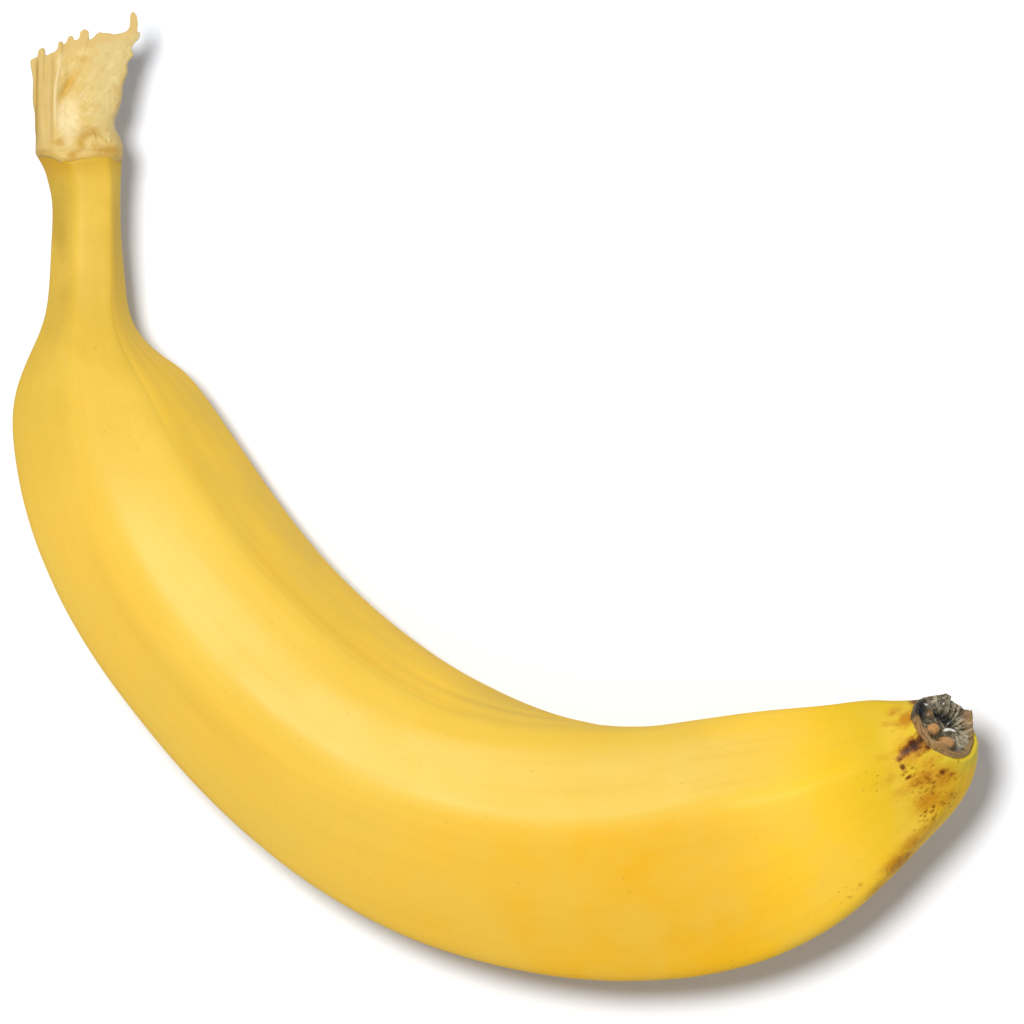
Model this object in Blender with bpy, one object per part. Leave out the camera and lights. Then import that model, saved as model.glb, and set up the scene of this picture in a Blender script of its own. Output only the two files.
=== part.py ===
"""A ripe banana broken off singly, lying on its side.

It is one natural piece, grown as one: the five-ridged fruit with its long stem, the torn
flap of crown tissue at the top of the stem, and the dried remnant of the flower at the
blossom end. Each of the three forms is a closed surface written as a formula, and they are
fused into one solid.

+X runs along the longest extent from stem to blossom end, +Y to the hollow side of the bow,
+Z up from the surface it lies on. Tables are in millimetres and degrees.
"""

import bmesh
import bpy
import numpy as np

MM = 0.001

# The centreline's stations from the stem's top to the blossom end: x, y, z, half width,
# half depth, how much of the section is flat-sided (0 round, 1 five flats), the directions
# of the five ridges round the section (0 is the hollow side, 90 is up) and the depth of the
# furrow beside the first ridge.
STATIONS = np.array(
    [
        (-74.25, 22.55, 17.0, 6.05, 5.6, 0.45, 56, 108, 176, 244, 316, 0.0),
        (-72.95, 21.2, 17.0, 5.7, 5.4, 0.60, 56, 108, 176, 244, 316, 0.0),
        (-70.3, 18.2, 17.0, 5.12, 5.2, 0.80, 56, 108, 176, 244, 316, 0.0),
        (-66.4, 13.0, 17.0, 5.15, 5.1, 0.90, 57, 110, 176, 244, 316, 0.0),
        (-62.5, 7.9, 17.1, 5.6, 5.5, 0.90, 58.5, 110, 175, 245, 320, 0.0),
        (-58.2, 2.3, 17.2, 7.1, 6.9, 0.90, 61, 109, 173, 247, 326, 0.0),
        (-53.2, -3.1, 17.1, 11.8, 10.4, 0.90, 62, 105, 172, 249, 331, 0.0),
        (-46.4, -8.1, 16.6, 15.0, 13.6, 0.85, 61.5, 107, 171, 250, 335, 0.05),
        (-33.2, -15.3, 15.9, 17.3, 16.3, 0.80, 62.5, 112, 171, 250, 335, 0.15),
        (-11.8, -22.5, 17.5, 18.3, 17.2, 0.75, 58.5, 112, 171, 250, 334, 0.28),
        (10.7, -25.4, 17.3, 19.2, 17.6, 0.70, 55.5, 105, 170, 248, 330, 0.32),
        (33.1, -22.6, 18.2, 19.5, 17.9, 0.70, 46.5, 90.5, 166, 242, 322, 0.32),
        (49.7, -15.3, 18.0, 19.1, 17.7, 0.72, 32, 80, 159, 234, 308, 0.2),
        (64.5, -2.4, 16.55, 18.7, 16.75, 0.75, 18, 71, 153, 226, 298, 0.0),
        (72.5, 9.8, 18.2, 16.1, 15.2, 0.80, 7, 72, 149, 219, 290, 0.0),
        (77.1, 19.0, 20.8, 12.4, 12.2, 0.80, 2, 72, 147, 216, 288, 0.0),
        (79.75, 25.75, 24.0, 9.4, 8.8, 0.60, 0, 73, 146, 216, 288, 0.0),
        (80.6, 30.3, 27.6, 5.9, 5.6, 0.20, 0, 74, 146, 216, 288, 0.0),
    ]
)
RINGS_PER_SPAN = (1, 2, 3, 3, 4, 5, 5, 7, 9, 9, 9, 7, 7, 6, 5, 4, 3)
RIDGE_CRISPNESS = 14  # higher gives sharper ridges
SECTOR = (0.0, 0.07, 0.18, 0.34, 0.5, 0.66, 0.82, 0.93)
FURROWED_SECTOR = (0.0, 0.07, 0.18, 0.34, 0.5, 0.62, 0.72, 0.81, 0.88, 0.92, 0.955)
FURROW_OFFSET = 5.0  # degrees from the first ridge, towards the hollow side
FURROW_REACH = 4.2  # degrees either side
SPAN_SAMPLES = 360  # directions used to measure a section's width and depth

# The torn flap of crown at the stem's top: a is across it, b along it from the foot.
FLAP_FOOT = (-74.15, 22.02, 17.0)
FLAP_ACROSS = np.array((0.80386, 0.59482, 0.0))
FLAP_ALONG = np.array((-0.59482, 0.80386, 0.0))
FLAP_SINK = -3.0  # how far its root reaches down into the stem
# b and the a of the left edge, then of the right edge
FLAP_LEFT = np.array(
    [(-3, -4.0), (-1.5, -4.9), (-0.5, -5.75), (0.3, -6.2), (0.9, -6.6), (3.9, -6.75)]
    + [(5.8, -6.65), (9.0, -7.0), (13.7, -7.15), (14.8, -7.5), (22.1, -7.5)]
)
FLAP_RIGHT = np.array(
    [(-3, 5.4), (-0.5, 5.9), (0.3, 6.1), (0.9, 6.3), (3.0, 6.1), (4.1, 5.5), (5.6, 5.1)]
    + [(8.6, 6.1), (11.1, 6.4), (12.9, 7.1), (14.8, 7.2), (15.9, 8.0), (16.7, 7.7)]
    + [(18.4, 7.9), (19.0, 8.9), (22.1, 8.9)]
)
# The ragged torn top from left to right, a and b.
TORN_TOP = np.array(
    [(-7.5, 14.8), (-7.0, 15.1), (-6.4, 15.4), (-6.2, 16.3), (-5.6, 16.7), (-5.3, 15.9)]
    + [(-4.1, 16.0), (-3.4, 16.6), (-3.0, 17.8), (-2.5, 17.5), (-2.1, 17.8), (-1.4, 18.5)]
    + [(-0.75, 17.8), (-0.4, 17.9), (0.05, 19.1), (0.65, 19.5), (1.15, 19.2), (1.35, 18.1)]
    + [(1.95, 18.2), (3.0, 19.0), (4.0, 18.9), (4.95, 18.9), (5.8, 19.0), (6.65, 19.2)]
    + [(7.3, 19.6), (7.55, 20.9), (7.75, 21.9), (8.05, 22.1), (8.4, 21.2), (8.5, 19.9)]
    + [(8.65, 19.2), (8.9, 19.0)]
)
FLAP_RINGS = (0.0, 0.1, 0.15, 0.178, 0.215, 0.29, 0.34, 0.39, 0.47, 0.55)
FLAP_RINGS += (0.64, 0.725, 0.81, 0.86, 0.895, 0.935, 0.973, 1.0)
# b with the flap's thickness, the height of its middle over the foot, and how square it is.
FLAP_BODY = np.array(
    [(-3, 8.4, 0.0, 2.4), (0, 10.2, 0.0, 2.6), (1, 10.6, 0.0, 2.8), (3, 9.6, -0.1, 3.2)]
    + [(6, 7.4, -0.4, 4.0), (10, 5.0, -0.4, 5.0), (14, 3.0, 0.0, 7.0), (16.5, 2.0, 0.3, 7.0)]
    + [(19, 1.5, 0.7, 7.0), (22.1, 1.0, 1.3, 7.0)]
)
TORN_THINNING = 0.7  # share of the thickness left at the torn top
THINNING_FROM = 0.75  # share of the way up at which it starts to thin
THINNEST = 0.7
# Relief of its torn face: where along b it starts and is whole; then each form's place,
# reach and height.
RELIEF_FROM, RELIEF_WHOLE = 1.5, 5.0
RIB_AT, RIB_REACH, RIB_HEIGHT = -3.6, 0.6, 0.5
STEP_FROM, STEP_TO, STEP_ENDS, STEP_HEIGHT = -3.4, -1.9, 7.0, -0.45
HOLLOW_AT, HOLLOW_LINE = (-1.7, 11.1), (0.47, 0.88)
HOLLOW_REACH, HOLLOW_WIDTH, HOLLOW_HEIGHT = 2.8, 0.8, -0.7
FOLD_AT, FOLD_REACH, FOLD_HEIGHT = 1.0, 0.5, -0.35
SWELL_AT, SWELL_REACH, SWELL_HEIGHT = (2.5, 3.2), (2.5, 1.2), 0.4

# The flower's remnant: its rim's radius by direction, and the profile from its buried foot,
# over the rim, to its middle, as shares of that radius and heights.
SCAR_RIM = np.array(
    [(0, 5.9), (22, 6.0), (45, 5.7), (68, 5.6), (91, 5.5), (124, 5.2), (150, 5.1), (175, 4.9)]
    + [(192, 4.6), (223, 4.5), (248, 5.2), (263, 5.7), (281, 5.4), (296, 5.2), (311, 5.6)]
    + [(334, 5.6), (360, 5.9)]
)
SCAR_PROFILE = np.array(
    [(0.60, -3.0), (0.88, -1.7), (0.97, -0.6), (1.0, 0.3), (0.99, 0.9), (0.93, 1.2)]
    + [(0.84, 0.9), (0.74, 0.6), (0.62, 0.6), (0.5, 0.7), (0.38, 0.8), (0.25, 0.9), (0.12, 1.0)]
)
RIM_SHARE, RIM_EASE = 0.97, 0.2  # where inside the rim the lobes begin, and over how much
SCAR_FOOT = -3.2
SCAR_MIDDLE = 1.0
SCAR_COLUMNS = 30
# Dried lobes and hollows on it: n, b, height, reach along and across the lobe's own line,
# and that line's direction.
SCAR_LUMPS = np.array(
    [(1.5, 3.0, 1.4, 1.15, 0.95, 60), (-1.2, 3.2, 1.3, 1.9, 1.0, 56)]
    + [(3.5, 0.8, 0.9, 0.8, 0.7, 0), (3.2, -3.2, 1.7, 1.7, 1.4, 135)]
    + [(0.6, -2.9, 0.8, 1.7, 1.1, 80), (-1.0, -4.4, 1.5, 1.3, 0.8, 100)]
    + [(0.9, -1.3, -1.6, 1.1, 0.9, 0), (2.4, -0.8, -0.8, 0.9, 0.8, 0)]
    + [(4.1, 1.9, -1.3, 1.2, 1.1, 0)]
)

PEEL_COLOUR = (0.85, 0.60, 0.09, 1.0)
PEEL_ROUGHNESS = 0.45
CREASE_ANGLE = np.radians(50)


def clear_scene():
    for thing in list(bpy.data.objects):
        bpy.data.objects.remove(thing, do_unlink=True)


def spline(knots, values, at):
    """The natural cubic through values at the knots, read at the points at."""
    spans = len(knots) - 1
    step = np.diff(knots)
    slope = np.diff(values, axis=0) / step[:, None]
    system = np.eye(spans + 1)
    change = np.zeros_like(values)
    for i in range(1, spans):
        system[i, i - 1 : i + 2] = step[i - 1], 2 * (step[i - 1] + step[i]), step[i]
        change[i] = 6 * (slope[i] - slope[i - 1])
    bend = np.linalg.solve(system, change)
    span = np.clip(np.searchsorted(knots, at, side="right") - 1, 0, spans - 1)
    before = ((knots[span + 1] - at) / step[span])[:, None]
    after = 1 - before
    curve = (before**3 - before) * bend[span] + (after**3 - after) * bend[span + 1]
    straight = before * values[span] + after * values[span + 1]
    return straight + curve * (step[span] ** 2)[:, None] / 6


def station_rows():
    """Each ring's row of the stations' values, closer together where the form turns fast."""
    legs = np.linalg.norm(np.diff(STATIONS[:, :3], axis=0), axis=1)
    knots = np.concatenate([[0], np.cumsum(legs)])
    at = [0.0]
    for start, leg, rings in zip(knots, legs, RINGS_PER_SPAN):
        at.extend(start + leg * (i + 1) / rings for i in range(rings))
    return spline(knots, STATIONS, np.array(at))


def frames_along(points):
    """Unit vectors along the centreline, to its hollow side and up across it."""
    along = np.gradient(points, axis=0)
    along /= np.linalg.norm(along, axis=1)[:, None]
    inward = np.cross((0.0, 0.0, 1.0), along)
    inward /= np.linalg.norm(inward, axis=1)[:, None]
    return along, inward, np.cross(along, inward)


def bell(offset, reach):
    """1 at no offset, falling to a third at one reach."""
    return np.exp(-((offset / reach) ** 2))


def section_radius(angle, ridges, flatness, furrow):
    """Radius of a rounded five-sided section: soft-cornered flats between the ridges."""
    following = np.roll(ridges, -1, axis=1)
    following[:, -1] += 2 * np.pi
    middle = (ridges + following) / 2
    half = (following - ridges) / 2
    reach = np.cos(angle[..., None] - middle[:, None]) / np.cos(half)[:, None]
    flat = (np.maximum(reach, 0) ** RIDGE_CRISPNESS).sum(2) ** (-1 / RIDGE_CRISPNESS)
    away = angle - ridges[:, :1] + np.radians(FURROW_OFFSET)
    away = (away + np.pi) % (2 * np.pi) - np.pi
    dip = furrow[:, None] * bell(away, np.radians(FURROW_REACH))
    return 1 + flatness[:, None] * (flat - 1) - dip


def stretched(values, reference):
    """Values scaled so that the reference's own range becomes -1 to 1."""
    low = reference.min(axis=1, keepdims=True)
    return 2 * (values - low) / np.ptp(reference, axis=1)[:, None] - 1


def peel_rings():
    """The fruit and stem: five-ridged sections swept along the bowed centreline."""
    rows = station_rows()
    points = rows[:, :3]
    half_width, half_depth, flatness = rows[:, 3], rows[:, 4], rows[:, 5]
    ridges = np.radians(rows[:, 6:11])
    furrow = np.maximum(rows[:, 11], 0) / half_width
    following = np.roll(ridges, -1, axis=1)
    following[:, -1] += 2 * np.pi
    columns = []
    for sector in range(ridges.shape[1]):
        last = sector == ridges.shape[1] - 1
        for share in FURROWED_SECTOR if last else SECTOR:
            columns.append((1 - share) * ridges[:, sector] + share * following[:, sector])
    angle = np.stack(columns, axis=1)
    radius = section_radius(angle, ridges, flatness, furrow)
    sweep = np.linspace(0, 2 * np.pi, SPAN_SAMPLES, endpoint=False)
    sweep = np.broadcast_to(sweep, (len(rows), SPAN_SAMPLES))
    whole = section_radius(sweep, ridges, flatness, np.zeros(len(rows)))
    across = stretched(radius * np.cos(angle), whole * np.cos(sweep)) * half_width[:, None]
    rise = stretched(radius * np.sin(angle), whole * np.sin(sweep)) * half_depth[:, None]
    along, inward, upward = frames_along(points)
    rings = points[:, None] + across[..., None] * inward[:, None]
    rings = rings + rise[..., None] * upward[:, None]
    # Its weight presses three low places flat on the surface that it lies on.
    rings[..., 2] = np.maximum(rings[..., 2], 0)
    return rings, along[-1], inward[-1], upward[-1]


def flap_relief(a, b):
    """Height of the torn face over the flap's smooth wedge."""
    grown = np.clip((b - RELIEF_FROM) / (RELIEF_WHOLE - RELIEF_FROM), 0, 1)
    rib = RIB_HEIGHT * bell(a - RIB_AT, RIB_REACH)
    step = np.clip((a - STEP_FROM) / (STEP_TO - STEP_FROM), 0, 1)
    step = STEP_HEIGHT * step * np.clip((STEP_ENDS - a) / (STEP_ENDS - STEP_TO), 0, 1)
    from_a, from_b = a - HOLLOW_AT[0], b - HOLLOW_AT[1]
    along = from_a * HOLLOW_LINE[0] + from_b * HOLLOW_LINE[1]
    across = from_a * HOLLOW_LINE[1] - from_b * HOLLOW_LINE[0]
    hollow = HOLLOW_HEIGHT * bell(along, HOLLOW_REACH) * bell(across, HOLLOW_WIDTH)
    fold = FOLD_HEIGHT * bell(b - FOLD_AT, FOLD_REACH)
    swell = SWELL_HEIGHT * bell(a - SWELL_AT[0], SWELL_REACH[0])
    swell = swell * bell(b - SWELL_AT[1], SWELL_REACH[1])
    return (rib + step + hollow) * grown + fold + swell


def flap_rings():
    """The torn crown flap: a wedge that widens and thins from the stem to its ragged top."""
    left, right = TORN_TOP[0, 0], TORN_TOP[-1, 0]
    share = (TORN_TOP[:, 0] - left) / (right - left)
    level = np.array(FLAP_RINGS)[:, None]
    b = FLAP_SINK + level * (TORN_TOP[:, 1] - FLAP_SINK)
    edge_left = np.interp(b, FLAP_LEFT[:, 0], FLAP_LEFT[:, 1])
    edge_right = np.interp(b, FLAP_RIGHT[:, 0], FLAP_RIGHT[:, 1])
    a = edge_left + (edge_right - edge_left) * share
    thickness, middle, squareness = (
        np.interp(b, FLAP_BODY[:, 0], FLAP_BODY[:, i]) for i in (1, 2, 3)
    )
    rounding = (1 - np.abs(2 * share - 1) ** squareness) ** (1 / squareness)
    thinning = np.interp(level, (THINNING_FROM, 1.0), (1.0, TORN_THINNING))
    half = np.maximum(thickness * thinning, THINNEST) * rounding / 2
    front = middle + half + flap_relief(a, b) * rounding
    front = np.maximum(front, middle - half + THINNEST * rounding)
    back = middle - half
    a, b = (np.concatenate([side, side[:, -2:0:-1]], axis=1) for side in (a, b))
    height = np.concatenate([front, back[:, -2:0:-1]], axis=1)
    rings = np.array(FLAP_FOOT) + a[..., None] * FLAP_ACROSS + b[..., None] * FLAP_ALONG
    rings[..., 2] += height
    return rings


def scar_rings(centre, along, inward, upward):
    """The flower's remnant: a low crusted knob with a rim, dried lobes and hollows."""
    turn = np.linspace(0, 2 * np.pi, SCAR_COLUMNS, endpoint=False)
    reach = np.interp(np.degrees(turn), SCAR_RIM[:, 0], SCAR_RIM[:, 1])
    n = SCAR_PROFILE[:, :1] * reach * np.cos(turn)
    b = SCAR_PROFILE[:, :1] * reach * np.sin(turn)
    height = np.repeat(SCAR_PROFILE[:, 1:], SCAR_COLUMNS, axis=1)
    inside = np.clip((RIM_SHARE - SCAR_PROFILE[:, :1]) / RIM_EASE, 0, 1)
    inside[: np.argmax(SCAR_PROFILE[:, 0]) + 1] = 0
    lumps = np.zeros_like(n)
    for at_n, at_b, tall, long, short, direction in SCAR_LUMPS:
        cosine, sine = np.cos(np.radians(direction)), np.sin(np.radians(direction))
        along_lobe = (n - at_n) * cosine + (b - at_b) * sine
        across_lobe = (b - at_b) * cosine - (n - at_n) * sine
        lumps += tall * bell(along_lobe, long) * bell(across_lobe, short)
    height = height + lumps * inside
    return (
        centre
        + n[..., None] * inward
        + b[..., None] * upward
        + height[..., None] * along
    )


def skin(rings):
    """Points and the quads between neighbouring rings, as one list each."""
    rows, columns = rings.shape[:2]
    points = [tuple(point) for point in rings.reshape(-1, 3)]
    faces = []
    for row in range(rows - 1):
        for column in range(columns):
            after = (column + 1) % columns
            here, there = row * columns, (row + 1) * columns
            faces.append((here + column, here + after, there + after, there + column))
    return points, faces


def fan(points, faces, first, columns, tip):
    """Closes the ring that starts at point number first with triangles to a tip."""
    points.append(tuple(tip))
    for column in range(columns):
        faces.append((first + column, first + (column + 1) % columns, len(points) - 1))


def zip_across(faces, first, columns):
    """Closes a flat ring by joining its front half to its back half."""
    half = columns // 2
    for i in range(half):
        corners = [i, i + 1, (columns - i - 1) % columns, (columns - i) % columns]
        faces.append(tuple(first + corner for corner in dict.fromkeys(corners)))


def closed_object(name, points, faces):
    mesh = bpy.data.meshes.new(name)
    mesh.from_pydata([[value * MM for value in point] for point in points], [], faces)
    shape = bmesh.new()
    shape.from_mesh(mesh)
    bmesh.ops.recalc_face_normals(shape, faces=shape.faces)
    bmesh.ops.triangulate(shape, faces=shape.faces)
    shape.to_mesh(mesh)
    shape.free()
    made = bpy.data.objects.new(name, mesh)
    bpy.context.scene.collection.objects.link(made)
    return made


def fuse(body, others):
    """Joins the other closed forms to the body, as one solid."""
    for other in others:
        union = body.modifiers.new(f"join_{other.name}", "BOOLEAN")
        union.operation = "UNION"
        union.solver = "EXACT"
        union.object = other
    bpy.context.view_layer.update()
    graph = bpy.context.evaluated_depsgraph_get()
    joined = bpy.data.meshes.new_from_object(body.evaluated_get(graph))
    body.modifiers.clear()
    body.data = joined
    for other in others:
        bpy.data.objects.remove(other, do_unlink=True)


def peel_material():
    material = bpy.data.materials.new("peel")
    material.use_nodes = True
    shader = material.node_tree.nodes["Principled BSDF"]
    shader.inputs["Base Color"].default_value = PEEL_COLOUR
    shader.inputs["Roughness"].default_value = PEEL_ROUGHNESS
    shader.inputs["Metallic"].default_value = 0.0
    return material


def build():
    clear_scene()
    rings, along, inward, upward = peel_rings()
    points, faces = skin(rings)
    columns = rings.shape[1]
    fan(points, faces, 0, columns, rings[0].mean(axis=0))
    fan(points, faces, (len(rings) - 1) * columns, columns, rings[-1].mean(axis=0))
    banana = closed_object("banana", points, faces)

    torn = flap_rings()
    points, faces = skin(torn)
    zip_across(faces, 0, torn.shape[1])
    zip_across(faces, (len(torn) - 1) * torn.shape[1], torn.shape[1])
    crown_flap = closed_object("crown_flap", points, faces)

    centre = STATIONS[-1, :3]
    knob = scar_rings(centre, along, inward, upward)
    points, faces = skin(knob)
    fan(points, faces, 0, SCAR_COLUMNS, centre + SCAR_FOOT * along)
    last = (len(knob) - 1) * SCAR_COLUMNS
    fan(points, faces, last, SCAR_COLUMNS, centre + SCAR_MIDDLE * along)
    blossom_scar = closed_object("blossom_scar", points, faces)

    fuse(banana, [crown_flap, blossom_scar])
    banana.data.materials.clear()
    banana.data.materials.append(peel_material())
    banana.data.shade_smooth()
    banana.data.set_sharp_from_angle(angle=CREASE_ANGLE)


build()
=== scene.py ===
"""A ripe banana lying on its side on a pale table, seen from straight above.

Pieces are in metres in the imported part's frame; the tables below are in millimetres.
"""

import bpy
import numpy as np
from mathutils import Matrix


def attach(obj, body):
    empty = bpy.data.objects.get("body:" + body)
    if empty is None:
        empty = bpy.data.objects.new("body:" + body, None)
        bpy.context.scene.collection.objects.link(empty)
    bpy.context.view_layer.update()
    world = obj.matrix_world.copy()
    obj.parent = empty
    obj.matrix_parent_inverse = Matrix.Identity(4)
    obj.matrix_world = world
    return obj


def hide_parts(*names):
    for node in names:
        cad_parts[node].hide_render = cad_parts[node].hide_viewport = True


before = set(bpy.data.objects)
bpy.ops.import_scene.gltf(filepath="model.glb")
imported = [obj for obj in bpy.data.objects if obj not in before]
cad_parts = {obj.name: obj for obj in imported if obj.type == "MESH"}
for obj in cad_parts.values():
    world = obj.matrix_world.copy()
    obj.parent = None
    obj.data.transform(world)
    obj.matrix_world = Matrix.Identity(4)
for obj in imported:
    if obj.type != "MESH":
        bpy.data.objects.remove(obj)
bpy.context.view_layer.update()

# The fruit and its stem. The real thing is a thick waxy peel over soft flesh, grown as a
# bowed body with five soft ridges that draws in to a square-shouldered stem. It is made as
# ridged sections carried along the bow, with the dents, wrinkles and furrow of real peel.

MM = 0.001

# x, y, z of the middle, half width, half depth, share of the section that is flat-sided,
# directions of the five ridges (0 the hollow side, 90 up), depth of the furrow by the first.
PEEL_STATIONS = np.array(
    [
        (-74.25, 22.55, 17.0, 6.05, 5.6, 0.45, 56, 108, 176, 244, 316, 0.0),
        (-72.95, 21.2, 17.0, 5.7, 5.4, 0.60, 56, 108, 176, 244, 316, 0.0),
        (-70.3, 18.2, 17.0, 5.12, 5.2, 0.80, 56, 108, 176, 244, 316, 0.0),
        (-66.4, 13.0, 17.0, 5.15, 5.1, 0.90, 57, 110, 176, 244, 316, 0.0),
        (-62.5, 7.9, 17.1, 5.6, 5.5, 0.90, 58.5, 110, 175, 245, 320, 0.0),
        (-58.2, 2.3, 17.2, 7.1, 6.9, 0.90, 61, 109, 173, 247, 326, 0.0),
        (-53.2, -3.1, 17.1, 11.8, 10.4, 0.90, 62, 105, 172, 249, 331, 0.0),
        (-46.4, -8.1, 16.6, 15.0, 13.6, 0.85, 61.5, 107, 171, 250, 335, 0.05),
        (-33.2, -15.3, 15.9, 17.3, 16.3, 0.80, 62.5, 112, 171, 250, 335, 0.15),
        (-11.8, -22.5, 17.5, 18.3, 17.2, 0.75, 58.5, 112, 171, 250, 334, 0.28),
        (10.7, -25.4, 17.3, 19.2, 17.6, 0.70, 55.5, 105, 170, 248, 330, 0.32),
        (33.1, -22.6, 18.2, 19.5, 17.9, 0.70, 46.5, 90.5, 166, 242, 322, 0.32),
        (49.7, -15.3, 18.0, 19.1, 17.7, 0.72, 32, 80, 159, 234, 308, 0.2),
        (64.5, -2.4, 16.55, 18.7, 16.75, 0.75, 18, 71, 153, 226, 298, 0.0),
        (72.5, 9.8, 18.2, 16.1, 15.2, 0.80, 7, 72, 149, 219, 290, 0.0),
        (77.1, 19.0, 20.8, 12.4, 12.2, 0.80, 2, 72, 147, 216, 288, 0.0),
        (79.75, 25.75, 24.0, 9.4, 8.8, 0.60, 0, 73, 146, 216, 288, 0.0),
        (80.6, 30.3, 27.6, 5.9, 5.6, 0.20, 0, 74, 146, 216, 288, 0.0),
    ]
)
PEEL_RINGS = 448
PEEL_COLUMNS_A_FACE = 42
RIDGE_CRISPNESS = 14
FURROW_OFFSET = np.radians(5.0)
FURROW_REACH = np.radians(4.2)
# The shoulder round the blossom's remnant and the lip round the crown flap: shares of the
# end section, and how far each ring stands out past it.
TIP_SHOULDER = [(0.985, 0.22), (0.95, 0.38), (0.89, 0.42), (0.82, 0.1), (0.74, -0.7)]
TIP_SHOULDER += [(0.6, -1.9), (0.35, -2.5)]
STEM_LIP = [(0.985, 0.12), (0.955, 0.15), (0.92, 0.05), (0.88, -0.4), (0.7, -1.0)]
# Where the peel's edge lies over the flap's foot: across the stem, and along it.
PEEL_EDGE = np.array(
    [(-6.7, 1.0), (-5.4, 0.96), (-4.3, 0.7), (-3.5, 0.3), (-2.85, -0.2), (-1.5, -0.45)]
    + [(-0.4, -0.35), (1.0, -0.05), (2.4, 0.2), (3.6, 0.3), (4.35, 0.2), (6.25, 0.0)]
)
# The stem's top, the unit lines across and along it, and how far they are turned off x and y.
STEM_TOP = np.array((-74.15, 22.02, 17.0))
STEM_ACROSS = np.array((0.80386, 0.59482, 0.0))
STEM_ALONG = np.array((-0.59482, 0.80386, 0.0))
STEM_TURN = np.radians(36.5)


def curve_through(knots, values, at):
    """The smoothest cubic through the values at the knots: each span is a cubic whose bend
    at its ends comes from one solve, so slope and bend carry on across every knot."""
    spans = len(knots) - 1
    step = np.diff(knots)
    slope = np.diff(values, axis=0) / step[:, None]
    system = np.eye(spans + 1)
    change = np.zeros_like(values)
    for i in range(1, spans):
        system[i, i - 1 : i + 2] = step[i - 1], 2 * (step[i - 1] + step[i]), step[i]
        change[i] = 6 * (slope[i] - slope[i - 1])
    bend = np.linalg.solve(system, change)
    span = np.clip(np.searchsorted(knots, at, side="right") - 1, 0, spans - 1)
    before = ((knots[span + 1] - at) / step[span])[:, None]
    after = 1 - before
    curve = (before**3 - before) * bend[span] + (after**3 - after) * bend[span + 1]
    straight = before * values[span] + after * values[span + 1]
    return straight + curve * (step[span] ** 2)[:, None] / 6


def lengths_along(points):
    """The length along a line of points, from its start to each of them."""
    legs = np.linalg.norm(np.diff(points, axis=0), axis=1)
    return np.concatenate([[0], np.cumsum(legs)])


def bell(offset, reach):
    """1 at no offset, falling to a third at one reach."""
    return np.exp(-((offset / reach) ** 2))


def next_round(ridges):
    """The ridge after each one; after the last comes the first again, a full turn on."""
    following = np.roll(ridges, -1, axis=1)
    following[:, -1] += 2 * np.pi
    return following


def ridged_radius(angle, ridges, flatness, furrow):
    """Radius of a section with five ridges: between two ridges lies a flat at distance
    cos(half gap) / cos(angle to its middle); the flats are blended with a soft maximum, the
    result is eased towards a circle, and a bell-shaped furrow is taken off."""
    following = next_round(ridges)
    middle = (ridges + following) / 2
    half = (following - ridges) / 2
    total = 0
    for face in range(ridges.shape[1]):
        reach = np.cos(angle - middle[:, face, None]) / np.cos(half[:, face, None])
        total = total + np.maximum(reach, 0) ** RIDGE_CRISPNESS
    flat = total ** (-1 / RIDGE_CRISPNESS)
    away = angle - ridges[:, :1] + FURROW_OFFSET
    away = (away + np.pi) % (2 * np.pi) - np.pi
    return 1 + flatness[:, None] * (flat - 1) - furrow[:, None] * bell(away, FURROW_REACH)


def stretched(values, reference):
    """Values scaled so that the reference's own range becomes -1 to 1."""
    low = reference.min(axis=1, keepdims=True)
    return 2 * (values - low) / np.ptp(reference, axis=1)[:, None] - 1


def lumps(points, size, seed):
    """Soft random lumps from -1 to 1: each corner of a cubic lattice of this size has a
    height from a hashed sine, and points between take the eased mix of eight corners."""
    cell = points / size + seed * 17.31
    base = np.floor(cell)
    ease = cell - base
    ease = ease * ease * (3 - 2 * ease)
    total = 0
    for corner in np.ndindex(2, 2, 2):
        height = np.sin((base + corner) @ (127.1, 311.7, 74.7)) * 43758.5453
        height = height - np.floor(height)
        total = total + height * np.prod(np.where(corner, ease, 1 - ease), axis=-1)
    return 2 * total - 1


def eased(values, low, high):
    """0 below low, 1 above high, and a smooth step between."""
    share = np.clip((values - low) / (high - low), 0, 1)
    return share * share * (3 - 2 * share)


def swept_peel():
    """Ridged sections carried along the bow: point = middle + width x cos x inward + depth
    x sin x upward, with each section stretched to its own width and depth."""
    knots = lengths_along(PEEL_STATIONS[:, :3])
    at = np.linspace(0, knots[-1], PEEL_RINGS)
    rows = curve_through(knots, PEEL_STATIONS, at)
    middle, width, depth, flatness = rows[:, :3], rows[:, 3], rows[:, 4], rows[:, 5]
    ridges = np.radians(rows[:, 6:11])
    share = np.arange(PEEL_COLUMNS_A_FACE) / PEEL_COLUMNS_A_FACE
    angle = ridges[:, :, None] + (next_round(ridges) - ridges)[:, :, None] * share
    angle = angle.reshape(PEEL_RINGS, -1)
    along = np.gradient(middle, axis=0)
    along /= np.linalg.norm(along, axis=1)[:, None]
    inward = np.cross((0.0, 0.0, 1.0), along)
    inward /= np.linalg.norm(inward, axis=1)[:, None]
    upward = np.cross(along, inward)
    furrow = np.maximum(rows[:, 11], 0) / width
    radius = ridged_radius(angle, ridges, flatness, furrow)
    sweep = np.linspace(0, 2 * np.pi, 360, endpoint=False)[None, :].repeat(PEEL_RINGS, 0)
    whole = ridged_radius(sweep, ridges, flatness, np.zeros(PEEL_RINGS))
    across = stretched(radius * np.cos(angle), whole * np.cos(sweep)) * width[:, None]
    rise = stretched(radius * np.sin(angle), whole * np.sin(sweep)) * depth[:, None]
    offset = across[..., None] * inward[:, None] + rise[..., None] * upward[:, None]
    return middle[:, None], offset, at[:, None], angle, ridges, along, inward, upward


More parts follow.
